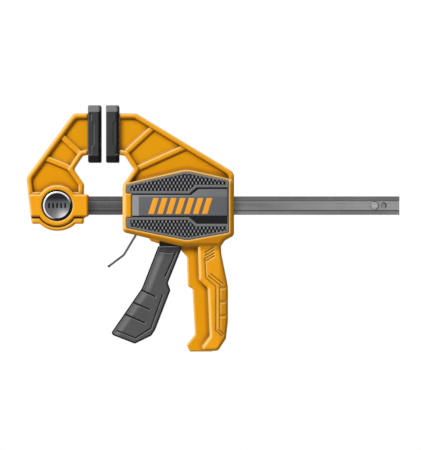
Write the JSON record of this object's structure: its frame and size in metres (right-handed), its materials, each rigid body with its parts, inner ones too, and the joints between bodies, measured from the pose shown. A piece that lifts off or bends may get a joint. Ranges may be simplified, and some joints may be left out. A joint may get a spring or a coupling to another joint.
{
  "type": "quick release bar clamp",
  "caption": "One-handed bar clamp: a fixed jaw locked to an I-section bar, a sliding head with pistol handle, squeeze trigger and release lever, and two block pads.",
  "frame": {"origin": "centre of the fixed pad's clamping face", "axes": "+X along the bar towards the moving jaw and handle, +Z from the bar up to the pads, Y across the clamp with the front side at -Y"},
  "size_m": [0.3725, 0.0366, 0.246],
  "materials": {
    "body_plastic": "satin moulded amber nylon",
    "cover_plastic": "satin grey",
    "badge_plastic": "satin dark grey",
    "trigger_plastic": "fine textured charcoal",
    "pad_rubber": "soft textured black grey",
    "bar_steel": "phosphated grey steel",
    "plain_steel": "bright zinc",
    "button_chrome": "satin chrome",
    "spring_steel": "drawn wire"
  },
  "bodies": {
    "fixed_end": {"bar": "bar_steel", "bar_stop_rivet": "plain_steel", "fixed_jaw": "body_plastic", "fixed_jaw_pad": "pad_rubber", "jaw_rear_cap": "trigger_plastic", "button_spring": "spring_steel"},
    "button": {"push_button": "button_chrome", "button_yoke": "trigger_plastic", "lock_pin": "plain_steel"},
    "head": {"head_housing": "body_plastic", "moving_jaw_pad": "pad_rubber", "front_cover": "cover_plastic", "rear_cover": "cover_plastic", "front_badge_plate": "badge_plastic", "rear_badge_plate": "badge_plastic", "trigger_pivot_pin": "plain_steel", "drive_spring": "spring_steel", "brake_spring": "spring_steel"},
    "squeeze": {"trigger": "trigger_plastic"},
    "drive": {"drive_plate_1": "plain_steel", "drive_plate_2": "plain_steel"},
    "brake": {"brake_lever": "plain_steel"}
  },
  "joints": [
    {"name": "head_slide", "type": "slide", "parent": "fixed_end", "child": "head", "axis": [1, 0, 0], "range_m": [-0.005, 0.1365]},
    {"name": "trigger_squeeze", "type": "hinge", "parent": "head", "child": "squeeze", "pos_m": [0.0706, 0, -0.0492], "axis": [0, -1, 0], "range_deg": [0, 14], "stiffness_Nm_per_rad": 1.2, "springref_deg": -14.32, "deforming": ["drive_spring"]},
    {"name": "drive_travel", "type": "slide", "parent": "head", "child": "drive", "axis": [1, 0, 0], "range_m": [0, 0.0056]},
    {"name": "brake_release", "type": "hinge", "parent": "head", "child": "brake", "pos_m": [0.0396, 0, -0.0529], "axis": [0, -1, 0], "range_deg": [0, 7], "stiffness_Nm_per_rad": 0.8, "springref_deg": -8.59, "deforming": ["brake_spring"]},
    {"name": "button_press", "type": "slide", "parent": "fixed_end", "child": "button", "axis": [0, 1, 0], "range_m": [0, 0.005], "stiffness_N_per_m": 600, "springref_m": -0.004, "deforming": ["button_spring"]}
  ],
  "couplings": [
    {"joint": "drive_travel", "follows": "trigger_squeeze", "m_per_rad": 0.0223}
  ]
}
